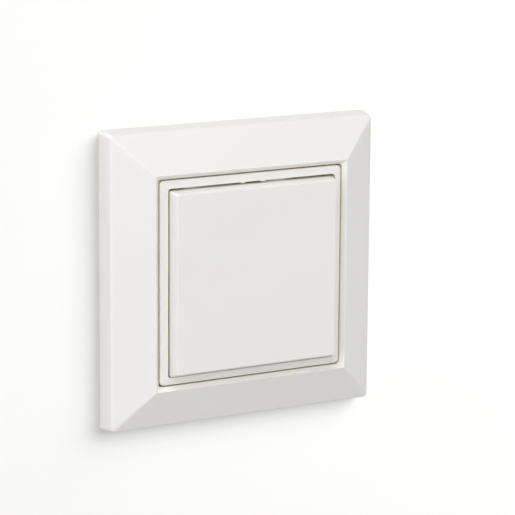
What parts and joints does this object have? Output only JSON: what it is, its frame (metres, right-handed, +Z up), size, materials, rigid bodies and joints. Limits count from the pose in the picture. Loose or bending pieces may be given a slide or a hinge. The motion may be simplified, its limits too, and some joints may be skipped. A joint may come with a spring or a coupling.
{
  "type": "rocker wall switch",
  "caption": "Flush-mounted rocker wall switch with a bevelled square cover frame, bezel ring, sprung two-way rocker and claw-fixed insert.",
  "frame": {"origin": "centre of the wall plane, on the axis through the middle of the rocker", "axes": "+X to the right, +Z up, -Y out of the wall towards the user, +Y into the wall box"},
  "size_m": [0.08, 0.0417, 0.08],
  "materials": {
    "white_plastic": "satin warm white moulded plastic",
    "carrier_plastic": "matt light grey moulded plastic",
    "base_plastic": "matt dark grey moulded plastic",
    "lever_plastic": "matt orange moulded plastic",
    "zinc_steel": "zinc plated sheet steel",
    "spring_steel": "bright spring steel",
    "brass": "plain brass strip",
    "contact_silver": "silver alloy contact button"
  },
  "bodies": {
    "insert": {"cover_frame": "white_plastic", "bezel_ring": "white_plastic", "pivot_pin": "spring_steel", "support_ring": "zinc_steel", "ring_rivets": "zinc_steel", "contact_cover": "carrier_plastic", "mechanism_base": "base_plastic", "upper_return_spring": "spring_steel", "lower_return_spring": "spring_steel", "upper_fixed_contact": "brass", "lower_fixed_contact": "brass", "fixed_tips": "contact_silver", "blade_pins": "spring_steel", "common_bar": "brass", "clamp_springs": "spring_steel"},
    "rocker_unit": {"rocker": "white_plastic", "rocker_cradle": "carrier_plastic"},
    "upper_plunger": {"upper_plunger": "carrier_plastic"},
    "lower_plunger": {"lower_plunger": "carrier_plastic"},
    "upper_blade": {"upper_contact_blade": "brass", "upper_moving_tip": "contact_silver"},
    "lower_blade": {"lower_contact_blade": "brass", "lower_moving_tip": "contact_silver"},
    "left_release_lever": {"left_release_lever": "lever_plastic"},
    "right_release_lever": {"right_release_lever": "lever_plastic"},
    "left_claw_screw": {"left_claw_screw": "zinc_steel"},
    "right_claw_screw": {"right_claw_screw": "zinc_steel"},
    "left_claw_nut": {"left_claw_nut": "zinc_steel"},
    "right_claw_nut": {"right_claw_nut": "zinc_steel"},
    "left_claw": {"left_claw": "zinc_steel"},
    "right_claw": {"right_claw": "zinc_steel"}
  },
  "joints": [
    {"name": "rocker_tilt", "type": "hinge", "parent": "insert", "child": "rocker_unit", "pos_m": [0, -0.004, 0], "axis": [1, 0, 0], "range_deg": [-4, 4], "stiffness_Nm_per_rad": 0.35},
    {"name": "upper_plunger_slide", "type": "slide", "parent": "insert", "child": "upper_plunger", "axis": [0, 1, 0], "range_m": [-0.00063, 0.00063]},
    {"name": "upper_blade_turn", "type": "hinge", "parent": "insert", "child": "upper_blade", "pos_m": [0, 0.0124, 0.0022], "axis": [1, 0, 0], "range_deg": [-5.3, 5.3]},
    {"name": "lower_plunger_slide", "type": "slide", "parent": "insert", "child": "lower_plunger", "axis": [0, 1, 0], "range_m": [-0.00063, 0.00063]},
    {"name": "lower_blade_turn", "type": "hinge", "parent": "insert", "child": "lower_blade", "pos_m": [0, 0.0124, -0.0022], "axis": [1, 0, 0], "range_deg": [-5.3, 5.3]},
    {"name": "left_lever_slide", "type": "slide", "parent": "insert", "child": "left_release_lever", "axis": [0, -1, 0], "range_m": [0, 0.0012]},
    {"name": "left_claw_screw_turn", "type": "hinge", "parent": "insert", "child": "left_claw_screw", "pos_m": [-0.0238, 0, 0], "axis": [0, 1, 0], "range_deg": [0, 2881]},
    {"name": "left_claw_nut_slide", "type": "slide", "parent": "insert", "child": "left_claw_nut", "axis": [0, -1, 0], "range_m": [0, 0.004]},
    {"name": "left_claw_swing", "type": "hinge", "parent": "left_claw_nut", "child": "left_claw", "pos_m": [-0.0238, 0.0165, 0], "axis": [0, 0, -1], "range_deg": [0, 12.01]},
    {"name": "right_lever_slide", "type": "slide", "parent": "insert", "child": "right_release_lever", "axis": [0, -1, 0], "range_m": [0, 0.0012]},
    {"name": "right_claw_screw_turn", "type": "hinge", "parent": "insert", "child": "right_claw_screw", "pos_m": [0.0238, 0, 0], "axis": [0, 1, 0], "range_deg": [0, 2881]},
    {"name": "right_claw_nut_slide", "type": "slide", "parent": "insert", "child": "right_claw_nut", "axis": [0, -1, 0], "range_m": [0, 0.004]},
    {"name": "right_claw_swing", "type": "hinge", "parent": "right_claw_nut", "child": "right_claw", "pos_m": [0.0238, 0.0165, 0], "axis": [0, 0, 1], "range_deg": [0, 12.01]}
  ],
  "couplings": [
    {"joint": "upper_plunger_slide", "follows": "rocker_tilt", "m_per_rad": -0.009},
    {"joint": "upper_blade_turn", "follows": "rocker_tilt", "ratio": 1.3235},
    {"joint": "lower_plunger_slide", "follows": "rocker_tilt", "m_per_rad": 0.009},
    {"joint": "lower_blade_turn", "follows": "rocker_tilt", "ratio": 1.3235},
    {"joint": "left_claw_screw_turn", "follows": "left_claw_nut_slide", "rad_per_m": 12566},
    {"joint": "left_claw_swing", "follows": "left_claw_nut_slide", "rad_per_m": 52.36},
    {"joint": "right_claw_screw_turn", "follows": "right_claw_nut_slide", "rad_per_m": 12566},
    {"joint": "right_claw_swing", "follows": "right_claw_nut_slide", "rad_per_m": 52.36}
  ]
}
